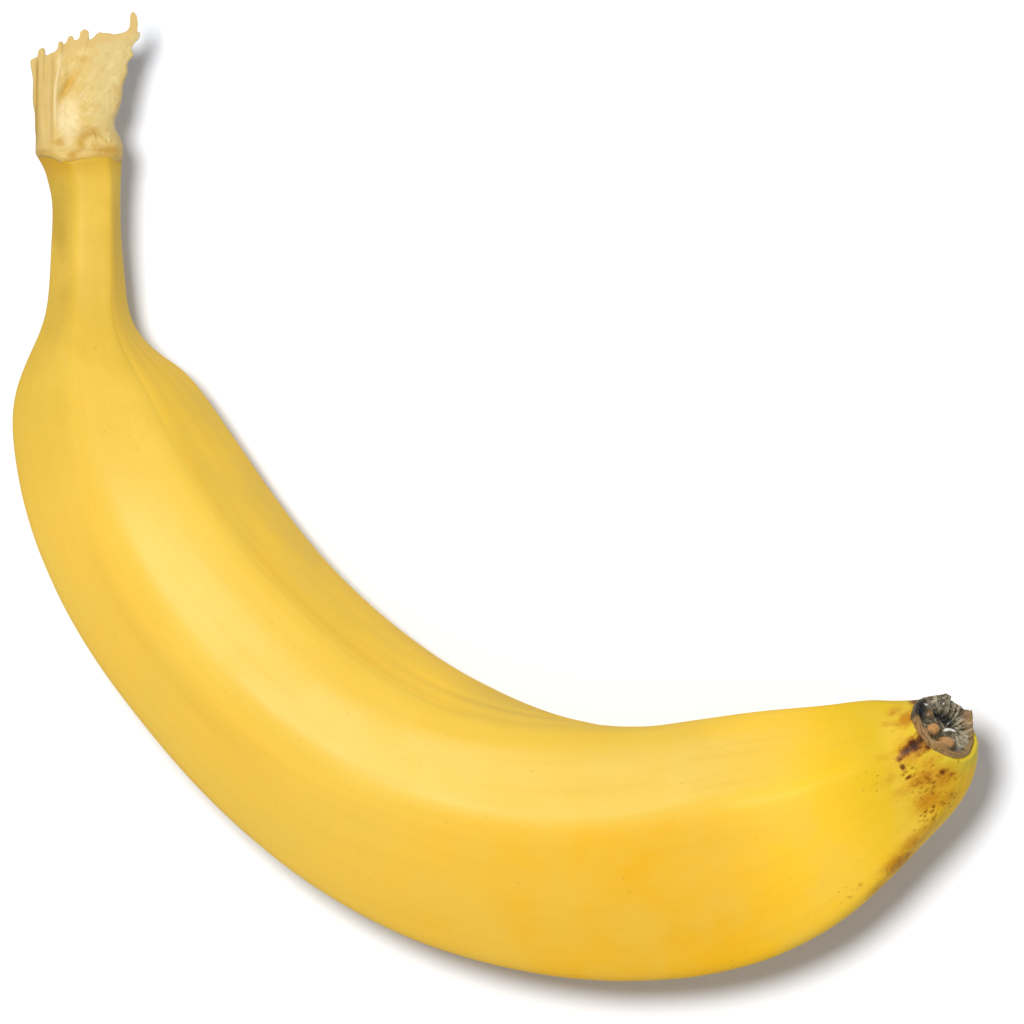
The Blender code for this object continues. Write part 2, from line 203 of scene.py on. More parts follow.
middle, offset, peel_run, peel_turn, ridges, along, inward, upward = swept_peel()
peel_length = peel_run[-1, 0]
outward = offset / np.linalg.norm(offset, axis=2, keepdims=True)
peel = middle + offset
# Broad dents and finer unevenness: height, size across and seed of each. Over them come the
# neck's lengthwise wrinkles, a second faint furrow on the hollow side and the tip's folds.
DENTS = [(0.14, 23.0, 1), (0.08, 11.0, 2), (0.03, 4.6, 3)]
dents = sum(height * lumps(peel, size, seed) for height, size, seed in DENTS)
on_body = eased(peel_run, 6, 40)
neck = eased(peel_run, 14, 30) * (1 - eased(peel_run, 44, 66))
tip = eased(peel_run, peel_length - 9, peel_length - 1)
neck_wave = np.sin(peel_turn * 17 + 2.2 * lumps(peel, 9.0, 4))
tip_wave = np.sin(peel_turn * 21 + 2.6 * lumps(peel, 4.0, 5))
past_ridge = np.degrees(ridges[:, :1] - peel_turn + 2 * np.pi)
hollow_side = eased(peel_run, 80, 112) * (1 - eased(peel_run, 140, 165))
second_furrow = bell(past_ridge - 18, 4.5) * hollow_side
relief = dents * (0.35 + 0.65 * on_body) + 0.03 * neck_wave * neck - 0.22 * second_furrow
relief = relief + (0.03 * tip_wave - 0.05) * tip
peel = peel + outward * relief[..., None]
# The peel's front edge lies over the flap's foot in a wavy line, and flares to its left.
side = (peel - STEM_TOP) @ STEM_ACROSS
reach = (peel - STEM_TOP) @ STEM_ALONG
wanted = np.interp(side, *PEEL_EDGE.T) + 0.16 * lumps(peel, 0.9, 6)
pull = bell(peel_run, 1.9) * eased(np.sin(peel_turn), -0.7, -0.1)
shift = (wanted - reach[:1]) * pull
flare = 0.95 * bell(peel_run, 1.25) * eased(-side, 2.5, 5.5)
peel = peel + shift[..., None] * STEM_ALONG - flare[..., None] * STEM_ACROSS


def drawn_in(ring, direction, profile):
    """Rings that close an open end: the end ring drawn towards its own middle by each
    share, and pushed out along the direction by each height."""
    centre = ring.mean(axis=0)
    rings = [centre + share * (ring - centre) + rise * direction for share, rise in profile]
    return np.stack(rings)


def carried_past(values, before, after):
    """Values given ring by ring, with the first and the last repeated past the ends."""
    values = np.broadcast_to(values, peel_turn.shape)
    return np.concatenate([values[:1]] * before + [values] + [values[-1:]] * after)


stem_lip = drawn_in(peel[0], -along[0], STEM_LIP)[::-1]
tip_shoulder = drawn_in(peel[-1], along[-1], TIP_SHOULDER)
peel = np.concatenate([stem_lip, peel, tip_shoulder])
# The fruit's weight presses three low places flat.
peel[..., 2] = np.maximum(peel[..., 2], 0)


def closed_skin(name, rings, marks):
    """A closed mesh from a grid of rings, with a map that runs once round and once along.
    Each end is closed by one ring more, drawn in until its two halves meet."""
    columns = rings.shape[1]
    opposite = -np.arange(columns) % columns
    foot, top = ((rings[end] + rings[end][opposite]) / 2 for end in (0, -1))
    rings = np.concatenate([foot[None], rings, top[None]])
    rows = len(rings)
    number = np.arange(rows * columns).reshape(rows, columns)
    for end in (0, -1):
        number[end] = np.minimum(number[end], number[end][opposite])
    row, column = (grid.reshape(-1, 1) for grid in np.indices((rows - 1, columns)))
    down, across = row + np.array((0, 0, 1, 1)), column + np.array((0, 1, 1, 0))
    corners = number[down, across % columns]
    points = rings.reshape(-1, 3) * MM
    a, b, c, d = (points[corners[:, i]] for i in range(4))
    volume = np.sum(a * np.cross(b, c)) + np.sum(a * np.cross(c, d))
    order = slice(None) if volume > 0 else slice(None, None, -1)
    corners, across, down = corners[:, order], across[:, order], down[:, order]
    used, corners = np.unique(corners, return_inverse=True)
    mesh = bpy.data.meshes.new(name)
    mesh.vertices.add(len(used))
    mesh.vertices.foreach_set("co", points[used].ravel())
    mesh.loops.add(across.size)
    mesh.loops.foreach_set("vertex_index", corners.ravel())
    mesh.polygons.add(len(across))
    mesh.polygons.foreach_set("loop_start", np.arange(len(across)) * 4)
    mesh.polygons.foreach_set("use_smooth", np.ones(len(across), dtype=bool))
    mesh.update(calc_edges=True)
    layout = mesh.uv_layers.new(name="skin")
    spread = np.stack([across / columns, down / (rows - 1)], axis=-1)
    layout.data.foreach_set("uv", spread.ravel())
    for mark, values in marks.items():
        values = np.concatenate([values[:1], values, values[-1:]]).ravel()[used]
        layer = mesh.attributes.new(mark, "FLOAT", "POINT")
        layer.data.foreach_set("value", values.astype(np.float32))
    mesh.validate()
    piece = bpy.data.objects.new(name, mesh)
    bpy.context.scene.collection.objects.link(piece)
    return piece


# Where ripening and handling have marked the peel: x, y, half length, half width, the
# direction its length runs in degrees, strength. They lie on the upper side.
BRUISES = [
    (78.5, 27.5, 1.5, 1.5, 75, 0.88),
    (78.1, 25.9, 1.6, 1.4, 70, 0.96),
    (77.6, 24.4, 1.5, 1.1, 80, 0.90),
    (77.6, 23.0, 1.0, 0.75, 80, 0.76),
    (79.9, 26.8, 0.9, 0.6, 60, 0.80),
    (79.6, 25.4, 1.8, 1.0, 62, 0.52),
    (80.6, 23.4, 1.4, 0.9, 75, 0.45),
    (78.6, 22.2, 0.55, 0.7, 70, 0.92),
    (80.3, 21.5, 0.8, 0.4, 75, 0.85),
    (83.9, 25.2, 0.9, 0.7, 60, 0.80),
    (85.2, 25.6, 0.9, 0.5, 60, 0.62),
    (84.4, 22.8, 1.0, 0.5, 80, 0.50),
    (74.6, 31.2, 1.4, 1.2, 30, 0.75),
    (75.6, 29.2, 1.4, 0.9, 80, 0.55),
    (86.0, 20.2, 0.5, 0.3, 75, 0.80),
    (86.4, 19.4, 0.5, 0.3, 75, 0.72),
    (85.5, 18.9, 0.6, 0.3, 75, 0.75),
    (85.2, 18.0, 0.5, 0.3, 75, 0.66),
    (86.3, 16.8, 0.6, 0.35, 75, 0.55),
    (87.0, 9.5, 1.4, 0.5, 78, 0.48),
]
STAINS = [
    (78.4, 25.0, 4.0, 2.6, 75, 0.62),
    (81.4, 25.2, 2.6, 1.8, 68, 0.55),
    (84.4, 24.4, 3.2, 2.4, 60, 0.72),
    (86.6, 22.0, 3.6, 1.4, 80, 0.62),
    (83.4, 21.0, 3.0, 1.8, 70, 0.42),
    (72.9, 28.2, 1.5, 0.8, 60, 0.60),
    (73.9, 26.6, 1.3, 0.6, 30, 0.50),
    (72.9, 25.8, 1.2, 0.5, 20, 0.40),
    (75.0, 28.3, 1.7, 1.2, 80, 0.90),
    (75.6, 30.0, 1.6, 1.3, 60, 0.85),
    (75.8, 21.9, 2.6, 0.8, 52, 0.32),
    (82.2, 22.6, 2.9, 1.8, 66, 0.78),
    (84.8, 20.6, 3.4, 1.6, 74, 0.80),
    (81.0, 19.6, 2.6, 1.2, 66, 0.48),
    (86.6, 14.0, 3.4, 1.3, 78, 0.66),
    (78.2, 19.6, 3.2, 0.9, 60, 0.36),
    (87.0, 16.5, 4.5, 1.1, 78, 0.55),
    (86.8, 10.4, 3.4, 1.5, 75, 0.80),
    (87.0, 5.6, 2.6, 1.2, 75, 0.55),
]
FRECKLED = [
    (83.4, 23.0, 5.2, 3.6, 70, 0.98),
    (86.6, 20.0, 5.5, 1.8, 80, 0.92),
    (79.6, 21.8, 3.6, 3.0, 65, 0.72),
    (76.7, 18.4, 5.0, 4.2, 60, 0.45),
    (73.6, 27.0, 2.4, 2.0, 50, 0.55),
    (87.0, 11.0, 5.0, 1.9, 78, 0.90),
    (84.0, 3.0, 5.0, 2.8, 70, 0.45),
    (-57.5, 1.5, 4.5, 4.0, 120, 0.32),
    (-44.0, -5.0, 8.0, 5.0, 125, 0.26),
]


def along_and_across(x, y, at_x, at_y, direction):
    """Each place's distances along and across a line, which runs through one point in this
    direction, in degrees."""
    turn = np.radians(direction)
    run = (x - at_x) * np.cos(turn) + (y - at_y) * np.sin(turn)
    off = (y - at_y) * np.cos(turn) - (x - at_x) * np.sin(turn)
    return run, off


def marked(points, marks):
    """Strength of a set of marks at each point: the greatest of their bells, each long one
    way and narrow the other, on the peel's upper side alone, coming in 12 to 18 mm up."""
    strength = np.zeros(points.shape[:2])
    for x, y, long, narrow, direction, amount in marks:
        run, off = along_and_across(points[..., 0], points[..., 1], x, y, direction)
        here = amount * np.exp(-((run / long) ** 2) - (off / narrow) ** 2)
        strength = np.maximum(strength, here)
    return strength * eased(points[..., 2], 12, 18)


# Each of the five faces between the ridges has a tone of its own: face is 0
# to 1 between the first two ridges, 1 to 2 between the next two, and so on round. Run is the
# length from the stem's top in millimetres. Most tones follow uneven ripening, but the hollow
# side is painted lighter where it turns from the lamp, painted light, and the stem's outer
# facet is darkened with painted shade. The pale line on the first face, which widens past the
# bow's middle, is a painted sheen. Two narrow painted shades lie beside the first ridge, over a
# darker olive tone, and past the second, and amber lies low on the outer side, near the tip.
rings_before, rings_after = len(STEM_LIP), len(TIP_SHOULDER)
face = np.arange(peel.shape[1])[None, :] / PEEL_COLUMNS_A_FACE
run = carried_past(peel_run, rings_before, rings_after)
patchy = lumps(peel, 9.0, 7) + 0.5 * lumps(peel, 4.0, 8)
on_stem = 1 - eased(run, 12, 34)
outer_face = eased(face, 0.93, 1.10) * (1 - eased(face, 3.9, 4.1))
inner_face = eased(face, 3.9, 4.1)
widening = eased(run, 95, 130)
# The painted sheen: a pale band on the first face, standing in for the shine of its bulge.
sheen_line = eased(face, 0.24 - 0.10 * widening, 0.48 - 0.06 * widening) * (0.85 + 0.3 * patchy)
sheen_line = sheen_line * (1 - eased(face, 0.76 + 0.12 * widening, 0.87 + 0.11 * widening))
sheen_line = sheen_line * (1 - 0.1 * widening) * (1 - eased(run, 156, 189))
past_flap = run - 0.5 * np.abs(patchy)
peel_marks = {
    # Painted sheen.
    "painted_sheen": np.clip(sheen_line * eased(run, 42, 64), 0, 1),
    "outer_side": outer_face * eased(run, 30, 50),
    # Painted light: the hollow side is tinted lighter where it turns from the lamp.
    "painted_light_inner_side": inner_face * eased(run, 8, 30) * (1 - 0.8 * eased(run, 104, 122)),
    # Painted shade in the fold beside the first ridge, over a darker olive tone there.
    "ridge_shade": 0.6 * bell(face - 4.93, 0.07) * eased(run, 36, 54)
    * (1 - eased(run, 92, 125)),
    # Painted shade: a darker line just past the second ridge, near the neck.
    "outer_ridge_shade": 0.5 * bell(face - 1.22, 0.12) * eased(run, 48, 62)
    * (1 - eased(run, 84, 104)),
    "deep_side": outer_face * eased(run, 104, 150),
    # The stem's ochre, held back on the hollow side so that side reads lighter: painted light.
    "stem_end": (1 - eased(run, 16, 60)) * (1 - 0.6 * inner_face),
    # Painted shade: the stem's outer facet is darkened towards its edge.
    "painted_shade_stem_side": on_stem * outer_face * eased(face, 0.9, 1.6),
    "golden": eased(run, 156, 178),
    "amber": eased(face, 1.7, 2.4) * (1 - eased(face, 4.1, 4.5)) * eased(run, 140, 168),
    "greenish": eased(run, peel_length - 26, peel_length - 5),
    "at_scar": eased(run, peel_length - 2.5, peel_length - 0.3),
    "at_flap": (1 - eased(past_flap, 0.2, 4.5)) * (0.55 + 0.45 * outer_face),
    "stained": marked(peel, STAINS),
    "freckled": np.maximum(marked(peel, FRECKLED), 0.10 * eased(run, 12, 40)),
    "bruised": marked(peel, BRUISES),
}
peel_piece = closed_skin("peel", peel, peel_marks)


def linear(sheet_colour):
    """A six-digit sRGB colour as the linear values a shader takes."""
    channels = [int(sheet_colour[i : i + 2], 16) / 255 for i in (1, 3, 5)]
    bright = [c / 12.92 if c <= 0.04045 else ((c + 0.055) / 1.055) ** 2.4 for c in channels]
    return (*bright, 1.0)


def set_sockets(node, values):
    """Gives each named socket of a node its value."""
    for socket, value in values.items():
        node.inputs[socket].default_value = value


def add_node(material, kind, values=None, links=None, **settings):
    """Adds one node with its settings, its sockets' values and what feeds its sockets."""
    node = material.node_tree.nodes.new(kind)
    for name, value in settings.items():
        setattr(node, name, value)
    set_sockets(node, values or {})
    for socket, source in (links or {}).items():
        material.node_tree.links.new(source, node.inputs[socket])
    return node


def shares_of(material, mark, rows):
    """The share of each tint over the piece: a noise plus a mark's strength times its
    weight, read between two limits and eased up to a greatest share. A row gives the tint's
    name, its noise, mark and weight, the low and high limits and the greatest share."""
    shares = {}
    for name, noise, kind, weight, low, high, most in rows:
        total = add_node(
            material, "ShaderNodeMath", {1: weight},
            {0: mark[kind], 2: noise.outputs["Fac"]}, operation="MULTIPLY_ADD",
        )
        shares[name] = add_node(
            material, "ShaderNodeMapRange", {"From Min": low, "From Max": high, "To Max": most},
            {"Value": total.outputs[0]}, interpolation_type="SMOOTHSTEP",
        ).outputs["Result"]
    return shares


def laid_over(material, ground, tints):
    """A ground colour with each tint laid over what is below it, by its share."""
    colour = add_node(material, "ShaderNodeRGB").outputs[0]
    colour.default_value = linear(ground)
    for tint, share in tints:
        mixed = add_node(
            material, "ShaderNodeMix", {7: linear(tint)}, {0: share, 6: colour},
            data_type="RGBA",
        )
        colour = mixed.outputs[2]
    return colour


# Ripe banana peel: a living skin with a thin wax bloom. It is satin, warm yellow, ochre on the
# stem, greenish at the tip, with freckles that brown as it ripens and dark bruises where the
# tip was knocked. Over this lie a painted sheen where it bulges, painted light on the hollow
# side and painted shade along two ridges and on the stem's outer facet.
ripe_peel = bpy.data.materials.new("ripe_banana_peel")
ripe_peel.use_nodes = True
peel_shader = ripe_peel.node_tree.nodes["Principled BSDF"]
place = add_node(ripe_peel, "ShaderNodeTexCoord")
mark = {
    name: add_node(ripe_peel, "ShaderNodeAttribute", attribute_name=name).outputs["Fac"]
    for name in peel_marks
}
# Freckles and bruises are drawn out along the fruit, which runs at 70 degrees by the tip:
# the first mapping turns that line to the axis, the next two stretch the noise along it.
turned = add_node(
    ripe_peel, "ShaderNodeMapping", {"Rotation": (0.0, 0.0, -np.radians(70))},
    {"Vector": place.outputs["Object"]},
)
# Real freckles here are 0.2 to 0.5 mm, and the bruises' edges break up at about 1 mm.
fine_stretch = add_node(
    ripe_peel, "ShaderNodeMapping", {"Scale": (1 / 0.0009, 1 / 0.0005, 1 / 0.0005)},
    {"Vector": turned.outputs["Vector"]},
)
broken_stretch = add_node(
    ripe_peel, "ShaderNodeMapping", {"Scale": (1 / 0.0020, 1 / 0.0010, 1 / 0.0010)},
    {"Vector": turned.outputs["Vector"]},
)
specks = add_node(
    ripe_peel, "ShaderNodeTexNoise", {"Scale": 1.0, "Detail": 2.0, "Roughness": 0.55},
    {"Vector": fine_stretch.outputs["Vector"]},
)
broken = add_node(
    ripe_peel, "ShaderNodeTexNoise", {"Scale": 1.0, "Detail": 6.0, "Roughness": 0.8},
    {"Vector": broken_stretch.outputs["Vector"]},
)
mottle = add_node(
    ripe_peel, "ShaderNodeTexNoise", {"Scale": 1 / 0.014, "Detail": 4.0, "Roughness": 0.55},
    {"Vector": place.outputs["Object"]},
)
# The skin's faint grain follows the map: 70 waves round the fruit to 8 along it.
grain_map = add_node(
    ripe_peel, "ShaderNodeMapping", {"Scale": (70.0, 8.0, 1.0)},
    {"Vector": place.outputs["UV"]},
)
grain = add_node(
    ripe_peel, "ShaderNodeTexNoise", {"Scale": 1.0, "Detail": 2.0, "Roughness": 0.5},
    {"Vector": grain_map.outputs["Vector"]},
)
shares = shares_of(ripe_peel, mark, [
    ("mottled", mottle, "painted_sheen", 0.0, 0.36, 0.64, 0.50),
    ("streaked", grain, "painted_sheen", 0.0, 0.46, 0.72, 0.14),
    ("stain", broken, "stained", 1.0, 0.54, 1.40, 0.90),
    ("freckle", specks, "freckled", 0.30, 0.70, 0.96, 0.72),
    ("bruise_edge", broken, "bruised", 1.0, 0.80, 1.10, 0.75),
    ("bruise", broken, "bruised", 1.0, 0.98, 1.26, 0.90),
    ("bruise_heart", broken, "bruised", 1.0, 1.20, 1.44, 0.95),
])
colour = laid_over(ripe_peel, "#e3bb46", [
    ("#eec048", mark["outer_side"]),
    # Painted light on the hollow side.
    ("#fccb42", mark["painted_light_inner_side"]),
    # Painted shade beside the first ridge, over a darker olive tone.
    ("#e0b23a", mark["ridge_shade"]),
    # Painted shade past the second ridge.
    ("#e2b540", mark["outer_ridge_shade"]),
    ("#ebb124", mark["deep_side"]),
    ("#f9c632", mark["golden"]),
    # Painted sheen along the first face's bulge.
    ("#ebc764", mark["painted_sheen"]),
    ("#d2ac40", mark["stem_end"]),
    # Painted shade on the stem's outer facet.
    ("#bf9b38", mark["painted_shade_stem_side"]),
    ("#d8b41e", mark["greenish"]),
    ("#f5be08", mark["amber"]),
    ("#e7c04e", shares["mottled"]),
    ("#d9ab34", shares["streaked"]),
    ("#c6982e", mark["at_flap"]),
    ("#d8bc34", mark["at_scar"]),
    ("#ba7a18", shares["stain"]),
    ("#84500f", shares["freckle"]),
    ("#9c5f18", shares["bruise_edge"]),
    ("#5e3210", shares["bruise"]),
    ("#341a0a", shares["bruise_heart"]),
])
ripe_peel.node_tree.links.new(colour, peel_shader.inputs["Base Color"])
pore_bump = add_node(
    ripe_peel, "ShaderNodeBump", {"Strength": 0.10, "Distance": 0.0002},
    {"Height": specks.outputs["Fac"]},
)
grain_bump = add_node(
    ripe_peel, "ShaderNodeBump", {"Strength": 0.08, "Distance": 0.0004},
    {"Height": grain.outputs["Fac"], "Normal": pore_bump.outputs["Normal"]},
)
ripe_peel.node_tree.links.new(grain_bump.outputs["Normal"], peel_shader.inputs["Normal"])
# Only the thin bloom shines, and it covers the skin in part, so the shine stays weak even
# where the skin turns away; the skin's own mirror is left out.
set_sockets(peel_shader, {
    "Roughness": 0.5, "IOR": 1.42, "Specular IOR Level": 0.0,
    "Coat Weight": 0.22, "Coat IOR": 1.42, "Coat Roughness": 0.42,
    "Subsurface Weight": 0.1, "Subsurface Radius": (1.0, 0.55, 0.12),
    "Subsurface Scale": 0.003,
})
peel_piece.data.materials.append(ripe_peel)
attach(peel_piece, "root")
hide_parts("banana")

# The torn flap of crown at the stem's top: the pale fibrous tissue by which the fruit hung
# on its hand, ripped off by hand. It is a wedge that widens and thins to a ragged edge, with
# a fibrous band, a rib, a hollow and pale pith on its torn face.

# The foot is sunk in the stem to this b. All b run along the stem, and all a across it.
FLAP_SINK = -3.0
# The left edge and then the right edge: b, and the edge's a there.
FLAP_LEFT = np.array(
    [(-3, -4.2), (-0.9, -5.5), (0.2, -6.35), (1.1, -6.75), (3.4, -6.7), (5.05, -6.8)]
    + [(7.1, -6.85), (9.1, -7.2), (11.25, -7.1), (12.5, -7.15), (13.9, -7.35), (14.8, -7.5)]
)
FLAP_RIGHT = np.array(
    [(-3, 5.4), (0.0, 6.2), (0.8, 6.4), (1.8, 6.4), (2.9, 6.2), (3.7, 5.8), (4.6, 5.4)]
    + [(5.6, 5.1), (7.0, 5.5), (8.2, 6.05), (9.6, 6.3), (11.2, 6.4), (12.3, 6.85)]
    + [(13.5, 7.1), (14.55, 7.1), (15.2, 7.6), (15.8, 8.05), (16.15, 8.0), (16.55, 7.75)]
    + [(17.1, 7.65), (17.75, 7.85), (18.35, 8.0)]
)
# The ragged torn top as a line of a and b, with its rounded teeth, horn and spike.
TORN_TOP = np.array(
    [(-7.5, 14.8), (-7.2, 15.1), (-6.7, 15.35), (-6.4, 15.6), (-6.3, 16.15), (-5.95, 16.6)]
    + [(-5.5, 16.75), (-5.3, 16.55), (-5.4, 16.1), (-5.5, 15.75), (-5.2, 15.62), (-4.4, 15.95)]
    + [(-3.75, 16.3), (-3.38, 16.7), (-3.3, 17.35), (-3.0, 17.8), (-2.75, 17.75)]
    + [(-2.5, 17.42), (-2.2, 17.5), (-1.9, 18.0), (-1.6, 18.55), (-1.35, 18.6)]
    + [(-1.05, 18.35), (-0.85, 17.95), (-0.5, 17.95), (-0.1, 18.4), (0.05, 19.1)]
    + [(0.35, 19.4), (0.7, 19.55), (1.15, 19.35), (1.3, 19.1), (1.1, 18.6), (1.15, 18.2)]
    + [(1.55, 18.1), (2.0, 18.3), (2.4, 18.75), (2.95, 19.0), (3.75, 19.0), (4.7, 18.85)]
    + [(5.75, 18.9), (6.55, 19.1), (7.1, 19.4), (7.35, 19.75), (7.5, 20.55), (7.55, 21.4)]
    + [(7.65, 21.9), (7.9, 22.1), (8.25, 21.95), (8.5, 21.5), (8.6, 20.85), (8.4, 20.05)]
    + [(8.25, 19.4), (8.5, 19.2), (8.97, 19.05), (8.55, 18.85), (8.1, 18.5), (7.8, 17.8)]
    + [(7.6, 17.1)]
)
# The line that its teeth stand on, a and b.
TEETH_FOOT = np.array(
    [(-7.5, 15.2), (-5.2, 15.6), (-3.6, 16.4), (-1.0, 17.7), (1.5, 18.1), (4, 18.7), (9, 19.1)]
)
# b with the flap's thickness, the height of its middle over the foot, and how square it is.
FLAP_BODY = np.array(
    [(-3, 8.4, 0.0, 2.4), (0, 10.2, 0.0, 2.6), (1, 10.6, 0.0, 2.8), (3, 9.6, -0.1, 3.2)]
    + [(6, 7.4, -0.4, 4.0), (10, 5.0, -0.4, 5.0), (14, 3.0, 0.0, 7.0), (16.5, 2.0, 0.3, 7.0)]
    + [(19, 1.5, 0.7, 7.0), (22.1, 1.0, 1.3, 7.0)]
)
# The share of its thickness that is left at the torn top, and the least thickness anywhere.
TORN_THINNING = 0.7
FLAP_THINNEST = 0.6
FLAP_COLUMNS = 260
FLAP_RINGS = 150
# The slanting hollow's middle, a and b, and the direction of its line.
HOLLOW_AT, HOLLOW_LINE = (-1.7, 11.1), (0.47, 0.88)
# How far the rib leans to the right, and between which b it does so.
RIB_LEAN, RIB_BEND = 0.75, (10.0, 15.5)
# Fine lines that run up the band at its left: a, width, height.
BAND_LINES = [(-4.2, 0.35, -0.03), (-5.75, 0.3, 0.16), (-6.45, 0.2, -0.14)]
# A row of small knobs low on the right, a and b. A pit lies beside each.
KNOBS = [(2.3, 3.5), (3.15, 3.35), (3.75, 2.85), (4.6, 2.75), (5.25, 2.25)]


def softened(at, table, column, reach):
    """A table's value at each place, averaged over a short reach so that no corner shows."""
    steps = np.linspace(-reach, reach, 7)
    values = [np.interp(at + step, table[:, 0], table[:, column]) for step in steps]
    return np.mean(values, axis=0)


def hollow_shape(a, b, length, width):
    """A bell drawn out along the slanting hollow's line."""
    from_a, from_b = a - HOLLOW_AT[0], b - HOLLOW_AT[1]
    along_line = from_a * HOLLOW_LINE[0] + from_b * HOLLOW_LINE[1]
    across_line = from_a * HOLLOW_LINE[1] - from_b * HOLLOW_LINE[0]
    return bell(along_line, length) * bell(across_line, width)


def torn_relief(a, b):
    """Height of the torn face over the wedge: a rib, a step down from it, the hollow, a fold
    at the foot, a swelling, knobs, and over them fibres along it and lumpy torn pith."""
    grown = np.clip((b - 1.5) / 3.5, 0, 1)
    rib_at = -3.7 + RIB_LEAN * eased(b, *RIB_BEND)
    rib = 0.24 * bell(a - rib_at, 0.32) * (1 - 0.5 * eased(b, 12, 16)) * eased(b, 2.5, 6)
    for line_a, width, height in BAND_LINES:
        rib = rib + height * bell(a - line_a, width)
    step = -0.45 * np.clip((a + 3.4) / 1.5, 0, 1) * np.clip((7.0 - a) / 8.9, 0, 1)
    hollow = -0.5 * hollow_shape(a, b, 3.2, 0.7)
    fold = -0.3 * bell(b - 1.0, 0.5)
    swell = 0.4 * bell(a - 2.5, 2.5) * bell(b - 3.2, 1.2)
    flat = np.stack([a, b, np.zeros_like(a)], axis=-1)
    strings = lumps(flat * (1.0, 0.10, 1.0), 0.5, 11) + 0.6 * lumps(flat * (1, 0.14, 1), 0.25, 12)
    left_band = 1 - eased(a, -4.4, -3.2)
    pith = lumps(flat, 1.5, 13) + 0.6 * lumps(flat, 0.7, 14) + 0.35 * lumps(flat, 0.35, 15)
    pithy = eased(a, -3.4, -2.2) * (1 - eased(b, 10.0, 16.0)) * eased(b, 0.2, 1.6)
    waves = 0.13 * lumps(flat * (0.5, 1.0, 1.0), 2.4, 22) * eased(b, 8, 13)
    fine = strings * (0.03 + 0.07 * left_band) * eased(b, 0.8, 3.0) + 0.15 * pith * pithy
    knobs = 0
    for knob_a, knob_b in KNOBS:
        shift = a - knob_a + 0.35 * (b - knob_b) + 0.18 * lumps(flat, 0.6, 25)
        knobs = knobs + 0.36 * bell(shift, 0.30) * bell(b - knob_b, 0.48)
        knobs = knobs - 0.24 * bell(shift - 0.42, 0.18) * bell(b - knob_b + 0.1, 0.32)
    return (rib + step + hollow + waves) * grown + fold + swell + fine + knobs


def torn_flap():
    """The flap as rings stacked from its foot to its torn top. A ring crosses the front from
    left edge to right and returns behind; its columns lean, near the top, to the torn line's
    own points, so that teeth can overhang."""
    knots = lengths_along(TORN_TOP)
    top = curve_through(knots, TORN_TOP, np.linspace(0, knots[-1], FLAP_COLUMNS))
    inset = np.concatenate([top, np.zeros((FLAP_COLUMNS, 1))], axis=1)
    fray = 0.07 * lumps(inset, 0.5, 16) + 0.04 * lumps(inset, 0.22, 17)
    top_a, top_b = top[:, 0], top[:, 1] + fray
    steps = np.diff(top, axis=0)
    advance = np.maximum(steps[:, 0], 0) + 0.25 * np.linalg.norm(steps, axis=1)
    share = np.concatenate([[0], np.cumsum(advance)])
    share = share / share[-1]
    level = np.linspace(0, 1, FLAP_RINGS)[:, None]
    b = FLAP_SINK + level * (top_b - FLAP_SINK)
    wander = np.stack([b, np.zeros_like(b), np.zeros_like(b)], axis=-1)
    left = softened(b, FLAP_LEFT, 1, 0.25) + 0.06 * lumps(wander, 0.8, 18)
    right = softened(b, FLAP_RIGHT, 1, 0.2) + 0.07 * lumps(wander, 0.7, 19)
    a = left + (right - left) * share
    stands = np.maximum(top_b - np.interp(top_a, *TEETH_FOOT.T), 0)
    lean = 1 - eased(top_b - b, stands + 0.1, stands + 3.2)
    a = a + lean * (top_a - a[-1])
    thickness, centre, squareness = (softened(b, FLAP_BODY, i, 0.8) for i in (1, 2, 3))
    rounding = (1 - np.abs(2 * share - 1) ** squareness).clip(0) ** (1 / squareness)
    thinning = np.interp(level, (0.75, 1.0), (1.0, TORN_THINNING))
    half = np.maximum(thickness * thinning, FLAP_THINNEST) * rounding / 2
    front = centre + half + torn_relief(a, b) * rounding
    front = np.maximum(front, centre - half + FLAP_THINNEST * rounding)
    flat = np.stack([a, b, np.zeros_like(a)], axis=-1)
    behind = 0.06 * lumps(flat * (1, 0.15, 1), 0.8, 20) + 0.08 * lumps(flat, 2.2, 21)
    back = centre - half + behind * rounding
    # Below the peel's edge the foot draws in, so that it lies inside the stem.
    edge = np.interp(a, *PEEL_EDGE.T)
    shown = eased(b - edge, -1.1, -0.15)
    front, back = (centre + (side - centre) * (0.7 + 0.3 * shown) for side in (front, back))
    a = a * (0.8 + 0.2 * shown)
    return a, b, front, back


def there_and_back(front, behind):
    """One ring's columns from the front's, left to right, and then the back's, returning."""
    return np.concatenate([front, behind[:, -2:0:-1]], axis=1)


front_a, front_b, flap_front, flap_back = torn_flap()
flap_a, flap_b = there_and_back(front_a, front_a), there_and_back(front_b, front_b)
on_front = there_and_back(flap_front * 0 + 1, flap_back * 0)
flap = STEM_TOP + flap_a[..., None] * STEM_ACROSS + flap_b[..., None] * STEM_ALONG
flap[..., 2] += there_and_back(flap_front, flap_back)
# The torn edge is rounded over: one more ring, half drawn in and a little higher.
opposite = -np.arange(flap.shape[1]) % flap.shape[1]
edge_ring = 0.75 * flap[-1:] + 0.25 * flap[-1:, opposite] + 0.07 * STEM_ALONG
flap = np.concatenate([flap, edge_ring])
flap_a, flap_b, on_front = (
    np.concatenate([values, values[-1:]]) for values in (flap_a, flap_b, on_front)
)
flat = np.stack([flap_a, flap_b, np.zeros_like(flap_a)], axis=-1)
blotchy = lumps(flat, 1.6, 23) + 0.6 * lumps(flat, 0.8, 24)
